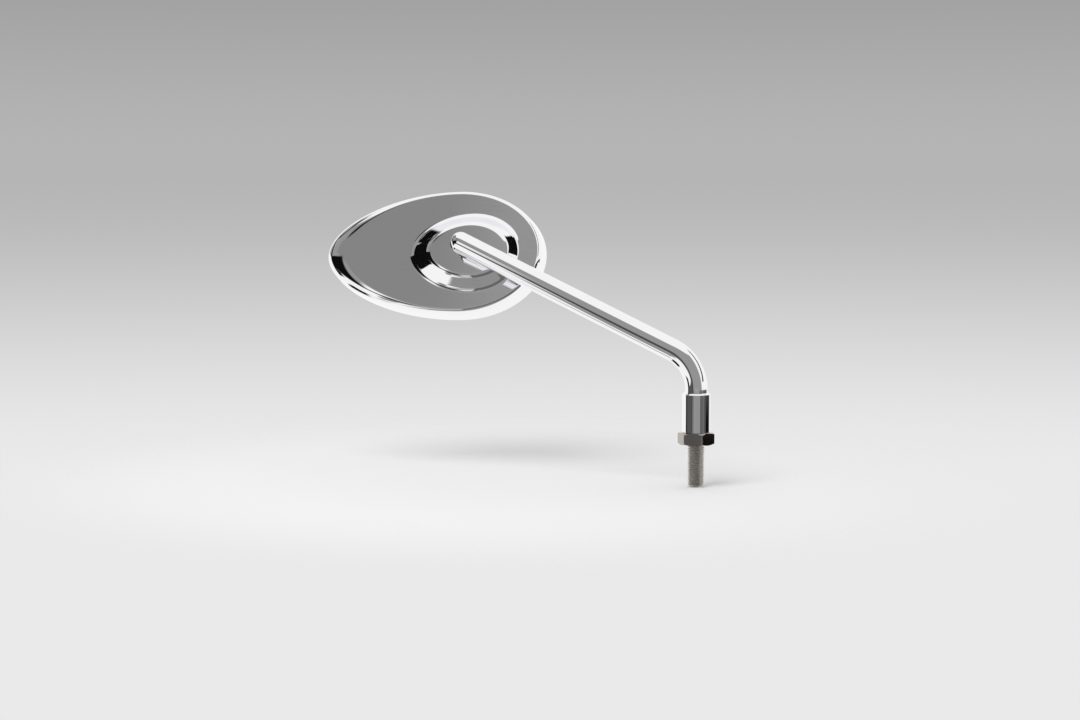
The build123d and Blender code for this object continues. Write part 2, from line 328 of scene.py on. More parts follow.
def ratio(name, description, share):
    """A number without a unit."""
    return FloatProperty(name=name, description=description, default=share)


def count(name, description, number):
    """How many points go round a shape."""
    return IntProperty(name=name, description=description, default=number, min=16)


def position(name, description, metres):
    """A place in the part's frame."""
    return FloatVectorProperty(
        name=name, description=description, default=metres, size=3, subtype="XYZ", unit="LENGTH"
    )


def tint(name, description, colour):
    """A colour."""
    return FloatVectorProperty(
        name=name, description=description, default=colour, subtype="COLOR", size=3, min=0, max=1
    )


class FinishColours(bpy.types.PropertyGroup):
    """Colours of the finishes."""

    chrome: tint("Chrome", "Chrome plating", (0.9, 0.9, 0.91))
    steel: tint("Steel", "Bare steel pieces", (0.66, 0.66, 0.65))
    zinc: tint("Zinc", "Zinc plate on the stud's crests", (0.74, 0.74, 0.73))
    passivate: tint("Passivate", "Yellowish film in the stud's thread", (0.5, 0.47, 0.4))
    nut: tint("Nut", "Blackened lock nut", (0.4, 0.365, 0.335))
    worn: tint("Worn steel", "Rubbed corners of the nut", (0.68, 0.66, 0.63))
    spring: tint("Spring steel", "Spring washers", (0.3, 0.3, 0.32))
    liner: tint("Liner", "Plastic liner of the ball", (0.82, 0.8, 0.72))
    backing: tint("Backing", "Backing plate", (0.05, 0.05, 0.055))
    foam: tint("Foam", "Foam pad", (0.12, 0.12, 0.13))
    seal: tint("Seal", "Rubber seal", (0.02, 0.02, 0.022))
    bloom: tint("Bloom", "Dusty bloom on rubber", (0.05, 0.05, 0.052))
    glass: tint("Glass", "Silvered glass", (0.87, 0.9, 0.91))


class ShellSizes(bpy.types.PropertyGroup):
    """Sizes of the head's shell, in its own axes from the ball's centre."""

    stations: count("Stations", "Points round the outline", 224)
    middle: length("Middle", "Where the outline is widest, along the head", -7.2)
    rise: length("Rise", "Outline's axis above the ball", 0.8)
    blunt: length("Blunt end", "From the widest place to the blunt end", 52.3)
    tail: length("Tail", "From the widest place to the tail", 84.2)
    half: length("Half height", "Half the height at the widest place", 39.4)
    tail_full: ratio("Tail fullness", "How long the tail stays wide", 0.54)
    tail_point: ratio("Tail point", "How blunt the tail's tip is", 0.47)
    depth: length("Depth", "From the back face to the rim", 17.5)
    shoulder: length("Shoulder", "From the back face to the side wall", 8.0)
    shoulder_mid: ratio("Shoulder fullness", "Middle section's share", 0.29)
    draft: length("Draft", "Side wall's lean", 0.5)
    face_inset: length("Face inset", "Back face inside the side wall", 2.8)
    tail_inset: length("Tail inset", "Further inset at the tail", 10.5)
    wall: length("Wall", "Thickness of the casting", 2.2)
    rim_round: length("Rim round", "Radius of the rim", 0.8)
    boss_height: length("Boss height", "Boss above the back face", 8.4)
    boss_middle: length("Boss middle", "Where the boss is widest", 2.3)
    boss_drop: length("Boss drop", "Boss axis below the ball", 0.7)
    boss_blunt: length("Boss blunt end", "Boss top, blunt end", 22.8)
    boss_tail: length("Boss tail", "Boss top, tail", 25.6)
    boss_half: length("Boss half height", "Boss top, half height", 16.7)
    foot_run: length("Boss run", "Run of the boss wall", 6.7)
    foot_tail_run: length("Boss tail run", "Run of the boss wall at the tail", 12.2)
    boss_edge: length("Boss edge", "Offset of the rounding at the boss top", 1.9)
    boss_root: length("Boss root", "Offset of the rounding at the boss foot", 1.9)
    face_edge: length("Face edge", "Offset of the rounding round the back face", 0.4)
    hole: length("Hole", "Radius of the hole for the ball's neck", 5.2)
    hole_chamfer: length("Hole chamfer", "Chamfer of that hole", 0.8)
    seat: length("Seat", "Radius of the ball liner's seat", 8.05)
    socket: length("Socket", "Outer radius of the socket", 10.5)
    socket_rear: length("Socket rear", "How far the socket goes behind the ball's centre", 1.5)
    ledge_front: length("Ledge front", "Ledge for the backing plate, from the back face", 10.2)
    ledge_wall: length("Ledge wall", "Thickness of the ledge", 1.5)
    ledge_width: length("Ledge width", "Width of the ledge", 2.7)
    post_radius: length("Post radius", "Screw posts from the ball's axis", 14.0)
    post: length("Post", "Radius of a screw post", 3.4)
    post_front: length("Post front", "Front end of a screw post", 4.0)
    screw: length("Screw", "Radius of a screw hole", 2.0)
    screw_reach: length("Screw reach", "Front end of a screw hole", 2.6)


class PadSizes(bpy.types.PropertyGroup):
    """Sizes of the foam pad behind the glass, in the head's axes from the ball's centre."""

    stations: count("Stations", "Points round the pad", 96)
    middle: length("Middle", "Where the pad is widest, along the head", -23.15)
    rise: length("Rise", "Pad's axis above the ball", 0.8)
    blunt: length("Blunt end", "From the widest place to the blunt end", 26.0)
    tail: length("Tail", "From the widest place to the tail", 40.0)
    half: length("Half height", "Half the height at the widest place", 20.0)
    front: length("Front", "Depth of the face on the backing plate", 12.5)
    rear: length("Rear", "Depth of the face on the glass, at its middle", 14.65)
    curve: length("Curve", "Radius of the glass at that face", 1397.95)
    bulge: length("Bulge", "How far the squeezed side stands out", 0.3)
    edge: length("Edge", "Offset of the rounding at both faces", 0.35)


# the stem's tip from the ball's centre, along the head's axis
TIP_REACH = 21.9 * MM


class StemSizes(bpy.types.PropertyGroup):
    """Sizes of the stem, its foot and the lock nut."""

    radius: length("Radius", "Radius of the stem", 6.5)
    bottom: length("Bottom", "Lower end of the stem, inside the foot", 16.0)
    corner: length("Corner", "Height where the stem's two straight lines meet", 48.0)
    bend: length("Bend", "Radius of the bend", 25.0)
    tip: position("Tip", "Centre of the domed end", BALL + HEAD_Z * TIP_REACH)
    foot: length("Foot", "Radius of the foot", 8.2)
    foot_top: length("Foot top", "Upper end of the foot", 30.0)
    foot_chamfer: length("Foot chamfer", "Chamfer at the foot's upper end", 0.8)
    stud: length("Stud", "Radius of the stud", 5.0)
    stud_end: length("Stud end", "Length of the stud below the nut", 25.0)
    stud_chamfer: length("Stud chamfer", "Chamfer at the stud's end", 1.0)
    shank: length("Shank", "Radius of the stud inside the nut", 4.59)
    pitch: length("Pitch", "Pitch of the thread", 1.25)
    thread_depth: length("Thread depth", "Depth of the thread", 0.72)
    nut_flats: length("Nut flats", "Half the width across the nut's flats", 9.5)
    nut_height: length("Nut height", "Height of the nut", 7.0)
    nut_bore: length("Nut bore", "Radius of the nut's bore", 4.65)
    nut_sink: length("Nut sink", "Countersink of the nut's bore", 0.8)
    nut_turn: FloatProperty(
        name="Nut turn", description="Angle of a corner", default=math.radians(45.5), unit="ROTATION"
    )


class StudioSettings(bpy.types.PropertyGroup):
    """Camera, light and floor."""

    camera_place: position("Camera", "Where the camera stands", (-0.09077, -1.29505, 0.1625))
    aim: position("Aim", "Point in the middle of the picture", (-0.09077, 0.0, 0.0492))
    lens: FloatProperty(name="Lens", description="Focal length in millimetres", default=74.7, min=10)
    sensor: FloatProperty(name="Sensor", description="Sensor width in millimetres", default=36.0, min=1)
    near: length("Near", "What is nearer to the camera isn't drawn", 10.0)
    floor_radius: length("Floor radius", "Where the floor has faded into the backdrop", 340.0)
    floor_colour: tint("Floor", "Pale floor", (0.84, 0.84, 0.84))
    room_radius: length("Room radius", "Size of the room seen in reflections", 6000.0)
    lamp_power: FloatProperty(name="Lamp", description="Soft lamp's power", unit="POWER", default=15.0)
    lamp_size: length("Lamp size", "Width of the soft lamp", 1200.0)
    lamp_place: position("Lamp place", "Where the soft lamp hangs", (-0.7, -0.9, 1.5))
    ambient: ratio("Ambient", "Even light from all sides", 0.72)


def scene_group(name):
    """The scene's settings of this name."""
    return getattr(bpy.context.scene, name)


# Mesh tools

def draw_line(shape, points):
    """A line of edges through these points, ready to be spun."""
    verts = [shape.verts.new(point) for point in points]
    return verts + [shape.edges.new(pair) for pair in zip(verts, verts[1:])]


def lathe(shape, profile, place, steps):
    """Spins a line of (radius, height) points round the z axis of a place."""
    line = draw_line(shape, [place @ Vector((radius, 0, height)) for radius, height in profile])
    bmesh.ops.spin(
        shape, geom=line, cent=place.translation, axis=place.col[2].to_3d(), dvec=(0, 0, 0),
        angle=math.tau, steps=steps, use_merge=True, use_duplicate=False,
    )
    bmesh.ops.remove_doubles(shape, verts=shape.verts, dist=WELD)


def new_verts(items):
    """The vertices among these items."""
    return [item for item in items if isinstance(item, bmesh.types.BMVert)]


def ring_edges(items, verts):
    """The edges among these items that join two of these vertices."""
    chosen = set(verts)
    edges = [item for item in items if isinstance(item, bmesh.types.BMEdge)]
    return [edge for edge in edges if chosen.issuperset(edge.verts)]


def skin(shape, outlines, stations, capped=False):
    """Extrudes a ring of edges from each outline to the next and returns the rings.

    The last ring is closed on the first, or both are capped. An outline is a function that gives a
    point for a turn from nought to one.
    """
    tag = shape.verts.layers.int.new("station")
    verts = bmesh.ops.create_circle(shape, cap_ends=False, segments=stations, radius=1.0)["verts"]
    for vert in verts:
        vert[tag] = round(math.atan2(vert.co.y, vert.co.x) / math.tau * stations) % stations
        vert.co = outlines[0](vert[tag] / stations)
    rings = [ring_edges(list(shape.edges), verts)]
    for outline in outlines[1:]:
        grown = bmesh.ops.extrude_edge_only(shape, edges=rings[-1])["geom"]
        verts = new_verts(grown)
        for vert in verts:
            vert.co = outline(vert[tag] / stations)
        rings.append(ring_edges(grown, verts))
    if capped:
        bmesh.ops.edgeloop_fill(shape, edges=rings[0])
        bmesh.ops.edgeloop_fill(shape, edges=rings[-1])
    else:
        bmesh.ops.bridge_loops(shape, edges=rings[0] + rings[-1])
    return rings


def soften(shape, edges, offset, segments):
    """Rounds these edges."""
    bmesh.ops.bevel(
        shape, geom=edges, offset=offset, offset_type="OFFSET", affect="EDGES",
        segments=segments, profile=0.5, material=-1,
    )


def new_mesh(name, shape):
    """A mesh made of a bmesh, which is freed."""
    mesh = bpy.data.meshes.new(name)
    shape.to_mesh(mesh)
    shape.free()
    return mesh


def new_object(name, data):
    """An object at the origin of the scene."""
    obj = bpy.data.objects.new(name, data)
    bpy.context.scene.collection.objects.link(obj)
    return obj


# edges between faces that turn by more degrees than this stay sharp
SHARP = 35.0


def new_piece(name, shape, material, sharp=SHARP):
    """An object made of a bmesh, smooth except at sharp edges."""
    bmesh.ops.recalc_face_normals(shape, faces=shape.faces)
    for face in shape.faces:
        face.smooth = True
    mesh = new_mesh(name, shape)
    mesh.set_sharp_from_angle(angle=math.radians(sharp))
    mesh.materials.append(material)
    piece = new_object(name, mesh)
    weighted = piece.modifiers.new("flat_faces", "WEIGHTED_NORMAL")
    weighted.keep_sharp = True
    return piece


def fit(piece, body, slot, *nodes):
    """The piece moves with a body and stands for these nodes, which are hidden. The slot is not used."""
    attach(piece, body)
    if nodes:
        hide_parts(*nodes)


def give(node, material):
    """Puts a finish on a CAD node."""
    for slot in frame["nodes"][node].material_slots:
        slot.material = material


# Shell

SHOULDER_RINGS = 14
WALL_RINGS = 4
SEAT_RINGS = 8
# faces across each rounded edge
EDGE_SEGMENTS = {"boss_edge": 6, "boss_root": 8, "face_edge": 4, "rim": 8, "rim_inside": 3, "hole_lip": 3}
# the screw posts round the ball's axis, in degrees
POST_ANGLES = (30, 150, 270)
POST_STEPS = 40


def egg(size, middle, rise, blunt, tail, half, height):
    """Outline in the head's axes: half an ellipse at the blunt end and a rounded tail."""

    def at(turn):
        quarter = 4 * turn
        if quarter <= 1 or quarter >= 3:
            x, y = middle + blunt * math.cos(math.tau * turn), half * math.sin(math.tau * turn)
        else:
            # a cubic curve from the widest place to the tail's tip
            reach = 1 - abs(quarter - 2)
            rest = 1 - reach
            x = middle - tail * (3 * rest**2 * reach * size.tail_full + 3 * rest * reach**2 + reach**3)
            y = half * (rest**3 + 3 * rest**2 * reach + 3 * rest * reach**2 * size.tail_point)
            y = math.copysign(y, 2 - quarter)
        return HEAD @ Vector((x, y + rise, height))

    return at


def round_hole(radius, height):
    """Circle round the ball's axis."""
    return lambda turn: HEAD @ Vector(
        (radius * math.cos(math.tau * turn), radius * math.sin(math.tau * turn), height)
    )


def head_outline(size, inset, tail_inset, height):
    """Outline of the head, inset all round and further at its tail."""
    blunt, half = size.blunt - inset, size.half - inset
    tail = size.tail - inset - tail_inset
    return egg(size, size.middle, size.rise, blunt, tail, half, height)


def boss_outline(size, run, inset, height):
    """Outline of the boss: run is nought at its top and one at its foot."""
    blunt = size.boss_blunt + run * size.foot_run - inset
    tail = size.boss_tail + run * size.foot_tail_run - inset
    half = size.boss_half + run * size.foot_run - inset
    return egg(size, size.boss_middle, -size.boss_drop, blunt, tail, half, height)


def through(at, first, second, third):
    """The parabola that is first at 0, second at a half and third at 1."""
    return (1 - at) * (1 - 2 * at) * first + 4 * at * (1 - at) * second + at * (2 * at - 1) * third


def shell_sections(size):
    """The shell's outlines by name: from the hole over the outside to the rim, and back inside."""
    height, depth = size.boss_height, size.depth
    yield "hole", round_hole(size.hole, height - size.hole_chamfer)
    yield "hole_lip", round_hole(size.hole + size.hole_chamfer, height)
    yield "boss_edge", boss_outline(size, 0, 0, height)
    for ring in range(1, WALL_RINGS):
        yield "boss_wall", boss_outline(size, ring / WALL_RINGS, 0, height * (1 - ring / WALL_RINGS))
    yield "boss_root", boss_outline(size, 1, 0, 0)
    for ring in range(SHOULDER_RINGS, -1, -1):
        share = through(ring / SHOULDER_RINGS, 0, size.shoulder_mid, 1)
        rise = through(ring / SHOULDER_RINGS, -1, -size.shoulder_mid, 0) * size.shoulder
        name = "face_edge" if ring == SHOULDER_RINGS else "shoulder"
        inset = size.draft + share * size.face_inset
        yield name, head_outline(size, inset, share * size.tail_inset, rise)
    for ring in range(1, WALL_RINGS):
        share = ring / WALL_RINGS
        level = -size.shoulder - share * (depth - size.shoulder)
        yield "side", head_outline(size, size.draft * (1 - share), 0, level)
    yield "rim", head_outline(size, 0, 0, -depth)
    yield "rim_inside", head_outline(size, size.wall, 0, -depth)
    lean = size.draft / (depth - size.shoulder)
    # the ledge's section: its root and lip at the rear, then at the front
    for rear, reach in ((1, 0), (1, 1), (0, 1), (0, 0)):
        down = size.ledge_front + size.ledge_wall * rear
        inset = size.wall + lean * (depth - down)
        yield "ledge", head_outline(size, inset + reach * size.ledge_width, 0, -down)
    inset = size.wall + size.draft
    yield "inner_wall", head_outline(size, inset, 0, -size.shoulder)
    yield "inner_face", head_outline(size, inset + size.face_inset, size.tail_inset, -size.wall)
    yield "inner_root", boss_outline(size, 1, size.wall, -size.wall)
    yield "inner_top", boss_outline(size, 0, size.wall, height - size.wall)
    yield "socket", round_hole(size.socket, height - size.wall)
    yield "socket", round_hole(size.socket, -size.socket_rear)
    yield "seat", round_hole(size.seat, -size.socket_rear)
    swing = math.acos(size.hole / size.seat)
    for ring in range(SEAT_RINGS + 1):
        angle = swing * ring / SEAT_RINGS
        yield "seat", round_hole(size.seat * math.cos(angle), size.seat * math.sin(angle))


class MIRROR_OT_shell(bpy.types.Operator):
    """Make the chromed shell of the head and the posts inside it"""

    bl_idname = "mirror.shell"
    bl_label = "Shell"

    def execute(self, context):
        size = scene_group("mirror_shell")
        chrome = new_finish("shell_chrome", polished_chrome, scene_group("mirror_colours").chrome)
        shape = bmesh.new()
        names, outlines = zip(*shell_sections(size))
        rings = dict(zip(names, skin(shape, outlines, size.stations)))
        # the rim's inside and the hole's lip are only broken
        offsets = {
            "boss_edge": size.boss_edge, "boss_root": size.boss_root, "face_edge": size.face_edge,
            "rim": size.rim_round, "rim_inside": size.rim_round / 4, "hole_lip": size.hole_chamfer / 5,
        }
        for name, offset in offsets.items():
            soften(shape, rings[name], offset, EDGE_SEGMENTS[name])
        fit(new_piece("polished_shell", shape, chrome), "head", "chrome_shell", "mirror_shell")
        posts = bmesh.new()
        profile = [
            (0, size.screw_reach), (size.screw, size.screw_reach), (size.screw, -size.socket_rear),
            (size.post, -size.socket_rear), (size.post, size.post_front), (0, size.post_front),
        ]
        for angle in POST_ANGLES:
            turn = Matrix.Rotation(math.radians(angle), 4, "Z")
            lathe(posts, profile, HEAD @ turn @ Matrix.Translation((size.post_radius, 0, 0)), POST_STEPS)
        fit(new_piece("screw_posts", posts, chrome), "head", "chrome_shell", "mirror_shell")
        return {"FINISHED"}


# Stem, foot and nut

def pull(shape, edges, offset):
    """Extrudes a ring of edges by an offset and returns the new ring."""
    grown = bmesh.ops.extrude_edge_only(shape, edges=edges)["geom"]
    verts = new_verts(grown)
    bmesh.ops.translate(shape, verts=verts, vec=offset)
    return ring_edges(grown, verts), verts


STEM_STEPS = 72
BEND_STEPS = 36
DOME_STEPS = 14
# the dome's last ring, as a share of the stem's radius, before it is merged to a point
DOME_TIP = 0.001


class MIRROR_OT_stem(bpy.types.Operator):
    """Make the bent stem with its domed end"""

    bl_idname = "mirror.stem"
    bl_label = "Stem"

    def execute(self, context):
        size = scene_group("mirror_stem")
        tip = Vector(size.tip)
        corner = Vector((0, 0, size.corner))
        run = (tip - corner).normalized()
        heading = Vector((run.x, run.y, 0)).normalized()
        angle = math.acos(run.z)
        set_back = size.bend * math.tan(angle / 2)
        shape = bmesh.new()
        start = Matrix.Translation((0, 0, size.bottom))
        verts = bmesh.ops.create_circle(
            shape, cap_ends=True, segments=STEM_STEPS, radius=size.radius, matrix=start
        )["verts"]
        edges = ring_edges(list(shape.edges), verts)
        edges, verts = pull(shape, edges, (0, 0, size.corner - set_back - size.bottom))
        bent = bmesh.ops.spin(
            shape, geom=verts + edges, cent=heading * size.bend + corner - Vector((0, 0, set_back)),
            axis=Vector((0, 0, 1)).cross(heading), dvec=(0, 0, 0), angle=angle, steps=BEND_STEPS,
            use_merge=False, use_duplicate=False,
        )["geom_last"]
        edges = ring_edges(bent, new_verts(bent))
        edges, verts = pull(shape, edges, tip - corner - run * set_back)
        for step in range(1, DOME_STEPS + 1):
            before, after = (math.pi / 2 * turn / DOME_STEPS for turn in (step - 1, step))
            edges, verts = pull(shape, edges, run * size.radius * (math.sin(after) - math.sin(before)))
            middle = Matrix.Translation(-tip - run * size.radius * math.sin(after))
            share = max(math.cos(after), DOME_TIP) / math.cos(before)
            bmesh.ops.scale(shape, verts=verts, vec=(share,) * 3, space=middle)
        bmesh.ops.pointmerge(shape, verts=verts, merge_co=tip + run * size.radius)
        chrome = new_finish("stem_chrome", polished_chrome, scene_group("mirror_colours").chrome)
        fit(new_piece("bent_stem", shape, chrome), "stem", "chrome_stem", "stem")
        return {"FINISHED"}


THREAD_STEPS = 56
# the thread goes on this far inside the nut
THREAD_TOP = 0.35 * MM
THREAD_SHARP = 25.0
FOOT_STEPS = 96
FOOT_SHARP = 20.0


def cut_thread(shape, size):
    """A thread spun up round the stud's axis, cut level at both ends and chamfered below."""
    pitch, root = size.pitch, size.stud - size.thread_depth
    low = -size.stud_end - pitch
    # a metric thread is flat over a quarter of its pitch in the root and an eighth on the crest
    profile = [
        (root, 0), (root, pitch / 8), (size.stud, pitch * 7 / 16), (size.stud, pitch * 9 / 16),
        (root, pitch * 7 / 8), (root, pitch),
    ]
    line = draw_line(shape, [(radius, 0, low + height) for radius, height in profile])
    turns = math.ceil((THREAD_TOP - low) / pitch)
    bmesh.ops.spin(
        shape, geom=line, cent=(0, 0, 0), axis=(0, 0, 1), dvec=(0, 0, pitch / THREAD_STEPS),
        angle=math.tau * turns, steps=THREAD_STEPS * turns, use_merge=False, use_duplicate=False,
    )
    bmesh.ops.remove_doubles(shape, verts=shape.verts, dist=WELD)
    for level, side in ((-size.stud_end, -1), (THREAD_TOP, 1)):
        bmesh.ops.bisect_plane(
            shape, geom=list(shape.verts) + list(shape.edges) + list(shape.faces), dist=WELD / 10,
            plane_co=(0, 0, level), plane_no=(0, 0, side), clear_outer=True,
        )
        open_edges = [edge for edge in shape.edges if edge.is_boundary]
        rim = [edge for edge in open_edges if all(abs(vert.co.z - level) < WELD for vert in edge.verts)]
        bmesh.ops.edgeloop_fill(shape, edges=rim)
    for vert in shape.verts:
        out = math.hypot(vert.co.x, vert.co.y)
        most = size.stud - max(size.stud_chamfer - size.stud_end - vert.co.z, 0)
        if out > most:
            vert.co.xy *= most / out


class MIRROR_OT_foot(bpy.types.Operator):
    """Make the turned foot and its threaded stud"""

    bl_idname = "mirror.foot"
    bl_label = "Foot"

    def execute(self, context):
        size = scene_group("mirror_stem")
        colours = scene_group("mirror_colours")
        chamfer, edge = size.foot_chamfer, size.foot_chamfer / 3
        sleeve = bmesh.new()
        profile = [
            (0, size.bottom), (size.radius, size.bottom), (size.radius, size.foot_top),
            (size.foot - chamfer, size.foot_top), (size.foot, size.foot_top - chamfer),
            (size.foot, size.nut_height + edge), (size.foot - edge, size.nut_height),
            (size.shank, size.nut_height), (size.shank, THREAD_TOP / 2), (0, THREAD_TOP / 2),
        ]
        lathe(sleeve, profile, Matrix.Identity(4), FOOT_STEPS)
        chrome = new_finish("foot_chrome", polished_chrome, colours.chrome)
        fit(new_piece("turned_foot", sleeve, chrome, FOOT_SHARP), "stem", "chrome_stem", "stem_foot")
        stud = bmesh.new()
        cut_thread(stud, size)
        zinc = new_finish("zinc_thread", plated_thread, colours.zinc, colours.passivate, size.stud)
        fit(new_piece("threaded_stud", stud, zinc, THREAD_SHARP), "stem", "plain_steel", "stem_foot")
        return {"FINISHED"}


NUT_STATIONS = 96
# slope of the chamfer over the nut's corners
NUT_ANGLE = math.radians(30)
# radius of the nut's flat ends, as a share of half the width across its flats
NUT_END = 0.98
NUT_CORNER = 0.25 * MM
CORNER_SEGMENTS = 3
NUT_SHARP = 22.0
# angle that one flat of the hexagon spans
FLAT_ANGLE = math.tau / 6


def nut_ring(size, radius, level):
    """Circle round the stud's axis, starting at a corner of the nut."""

    def at(turn):
        return Matrix.Rotation(math.tau * turn + size.nut_turn, 4, "Z") @ Vector((radius, 0, level))

    return at


def nut_hexagon(size, top):
    """The flats' upper or lower edge, which the chamfer cuts back at the corners."""

    def at(turn):
        radius = size.nut_flats / math.cos((math.tau * turn) % FLAT_ANGLE - FLAT_ANGLE / 2)
        level = (radius - size.nut_flats) * math.tan(NUT_ANGLE)
        return nut_ring(size, radius, size.nut_height - level if top else level)(turn)

    return at


class MIRROR_OT_nut(bpy.types.Operator):
    """Make the hexagon lock nut"""

    bl_idname = "mirror.nut"
    bl_label = "Lock nut"

    def execute(self, context):
        size = scene_group("mirror_stem")
        colours = scene_group("mirror_colours")
        height, sink = size.nut_height, size.nut_sink
        wide, end = size.nut_bore + sink, NUT_END * size.nut_flats
        outlines = [
            nut_ring(size, size.nut_bore, sink), nut_ring(size, wide, 0), nut_ring(size, end, 0),
            nut_hexagon(size, top=False), nut_hexagon(size, top=True),
            nut_ring(size, end, height), nut_ring(size, wide, height),
            nut_ring(size, size.nut_bore, height - sink),
        ]
        shape = bmesh.new()
        skin(shape, outlines, NUT_STATIONS)
        corner = size.nut_flats / math.cos(FLAT_ANGLE / 2)
        upright = [
            edge for edge in shape.edges
            if all(math.hypot(*vert.co.xy) > corner - NUT_CORNER / 10 for vert in edge.verts)
        ]
        soften(shape, upright, NUT_CORNER, CORNER_SEGMENTS)
        steel = new_finish("nut_oxide", oxide_steel, colours.nut, colours.worn, corner)
        fit(new_piece("hex_nut", shape, steel, NUT_SHARP), "nut", "dark_steel", "lock_nut")
        return {"FINISHED"}


# Pieces inside the head

# rings on the pad's two faces, as shares of its size
PAD_SHARES = (0.04, 0.35, 0.7)
SIDE_RINGS = 6
PAD_SEGMENTS = 3
PAD_SHARP = 60.0


def pad_outline(pad, shell, share, bulge, depth):
    """Outline of the pad at a share of its size: depth is nought on the plate and one on the glass."""
    blunt, tail, half = (share * size + bulge for size in (pad.blunt, pad.tail, pad.half))
    flat = egg(shell, pad.middle, pad.rise, blunt, tail, half, 0)

    def at(turn):
        spot = HEAD.inverted() @ flat(turn)
        out = math.hypot(spot.x - pad.middle, spot.y - pad.rise)
        glass = pad.curve - math.sqrt(pad.curve**2 - out**2) - pad.rear
        spot.z = (1 - depth) * -pad.front + depth * glass
        return HEAD @ spot

    return at


class MIRROR_OT_pad(bpy.types.Operator):
    """Make the foam pad, squeezed between the backing plate and the glass"""

    bl_idname = "mirror.pad"
    bl_label = "Foam pad"

    def execute(self, context):
        pad, shell = scene_group("mirror_pad"), scene_group("mirror_shell")
        outlines = [pad_outline(pad, shell, share, 0, 0) for share in PAD_SHARES]
        for ring in range(SIDE_RINGS + 1):
            depth = ring / SIDE_RINGS
            outlines.append(pad_outline(pad, shell, 1, pad.bulge * math.sin(math.pi * depth), depth))
        outlines += [pad_outline(pad, shell, share, 0, 1) for share in reversed(PAD_SHARES)]
        shape = bmesh.new()
        rings = skin(shape, outlines, pad.stations, capped=True)
        first = len(PAD_SHARES)
        soften(shape, rings[first] + rings[first + SIDE_RINGS], pad.edge, PAD_SEGMENTS)
        foam = new_finish("open_foam", open_foam, scene_group("mirror_colours").foam)
        piece = new_piece("foam_pad", shape, foam, PAD_SHARP)
        fit(piece, "head", "foam", "glass_pad")
        return {"FINISHED"}


class MIRROR_OT_inner(bpy.types.Operator):
    """Finish the ball joint, the clamp and the backing plate"""

    bl_idname = "mirror.inner"
    bl_label = "Inner pieces"

    def execute(self, context):
        colours = scene_group("mirror_colours")
        steel = new_finish("turned_steel", turned_steel, colours.steel)
        liner = new_finish("liner_plastic", moulded_plastic, colours.liner)
        for node in ("ball_stud", "clamp_plate", "clamp_screws"):
            give(node, steel)
        give("spring_washers", new_finish("spring_steel", turned_steel, colours.spring))
        give("front_liner", liner)
        give("rear_liner", liner)
        give("backing_plate", new_finish("backing_plastic", moulded_plastic, colours.backing))
        return {"FINISHED"}


class MIRROR_OT_glass(bpy.types.Operator):
    """Finish the mirror glass and its seal"""

    bl_idname = "mirror.glass"
    bl_label = "Glass and seal"

    def execute(self, context):
        colours = scene_group("mirror_colours")
        give("glass_seal", new_finish("seal_rubber", soft_rubber, colours.seal, colours.bloom))
        give("mirror_glass", new_finish("silvered_glass", silvered_glass, colours.glass))
        return {"FINISHED"}


# Stage

# Backdrop by height over the horizon: pale below it, greyer above
BACKDROP_LOW, LOW_TONE = -0.135, 0.82
HORIZON_TONE = 0.46
BACKDROP_HIGH, HIGH_FALL = 0.1, 0.12


def build_world():
    """Pale backdrop for the camera, even light for everything else."""
    world = bpy.data.worlds.new("studio_backdrop")
    bpy.context.scene.world = world
    world.use_nodes = True
    shader = Shader(world.node_tree)
    height = shader.axes(shader.node("ShaderNodeTexCoord", output="Generated"))[2]
    path = shader.node("ShaderNodeLightPath").socket.node.outputs
    seen = Value(shader, path["Is Camera Ray"])
    for ray in ("Is Glossy Ray", "Is Transmission Ray"):
        seen = seen.larger(Value(shader, path[ray]))
    tone = shader.step(height, BACKDROP_LOW, 0.0, LOW_TONE, HORIZON_TONE)
    tone = tone - shader.step(height, 0.0, BACKDROP_HIGH, 0.0, HIGH_FALL)
    strength = scene_group("mirror_studio").ambient * (1 - seen) + tone * seen
    sockets = {"Color": shade((1, 1, 1)), "Strength": strength}
    light = shader.node("ShaderNodeBackground", sockets=sockets)
    shader.node("ShaderNodeOutputWorld", sockets={"Surface": light})


class RoomPanel(NamedTuple):
    """A panel of the room that the chrome reflects. Later panels lie over earlier ones."""

    tone: float
    # left and right edges, as turns from the front in degrees, to the right if positive
    left: float
    right: float
    # lower and upper edges, as heights from -1 straight below to 1 straight above
    low: float
    high: float
    # lean of the upright edges, in degrees for each unit of height
    lean: float = 0.0
    # climb of the level edges, in height for each degree
    climb: float = 0.0


